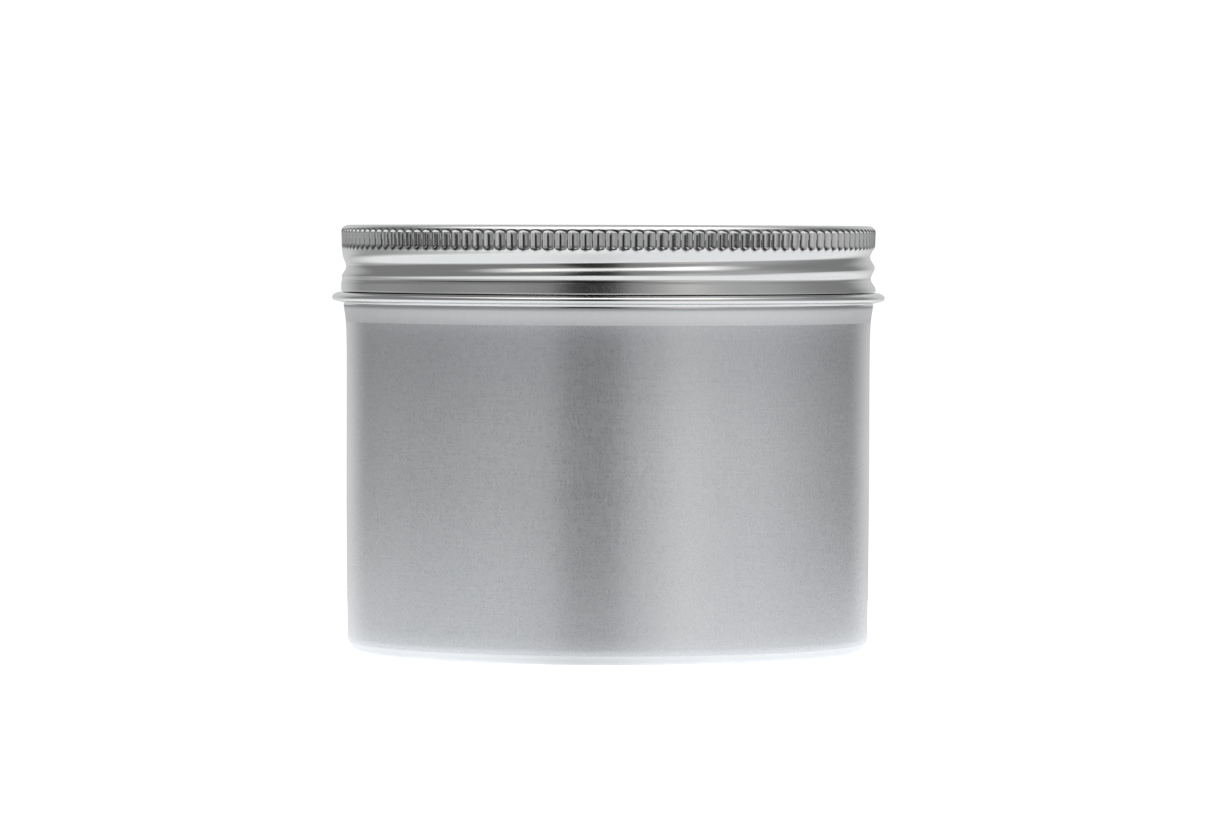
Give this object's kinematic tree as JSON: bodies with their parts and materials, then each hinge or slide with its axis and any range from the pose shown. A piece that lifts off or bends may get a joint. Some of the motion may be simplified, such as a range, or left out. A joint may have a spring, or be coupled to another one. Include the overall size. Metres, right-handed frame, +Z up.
{
  "type": "candle tin with screw lid",
  "caption": "Round seamless aluminium tin with a fluted screw lid, a stop ring below the lid and a foam liner disc, used as a candle container.",
  "frame": {"origin": "centre of the base, on the surface the tin stands on", "axes": "+Z up along the tin's axis, with the lid on top; +X and +Y level, and -Y towards the viewer"},
  "size_m": [0.0868, 0.0868, 0.0669],
  "materials": {
    "pot_aluminium": "satin",
    "lid_aluminium": "gloss",
    "liner_foam": "matte"
  },
  "bodies": {
    "pot": {"pot": "pot_aluminium"},
    "liner": {"liner": "liner_foam"},
    "lid": {"lid_shell": "lid_aluminium"}
  },
  "joints": [
    {"name": "lid_lift", "type": "slide", "parent": "pot", "child": "liner", "axis": [0, 0, 1], "range_m": [0, 0.0203]},
    {"name": "lid_unscrew", "type": "hinge", "parent": "liner", "child": "lid", "pos_m": [0, 0, 0.0615], "axis": [0, 0, 1], "range_deg": [0, 2160]}
  ],
  "couplings": [
    {"joint": "lid_lift", "follows": "lid_unscrew", "m_per_rad": 0.00053794}
  ]
}
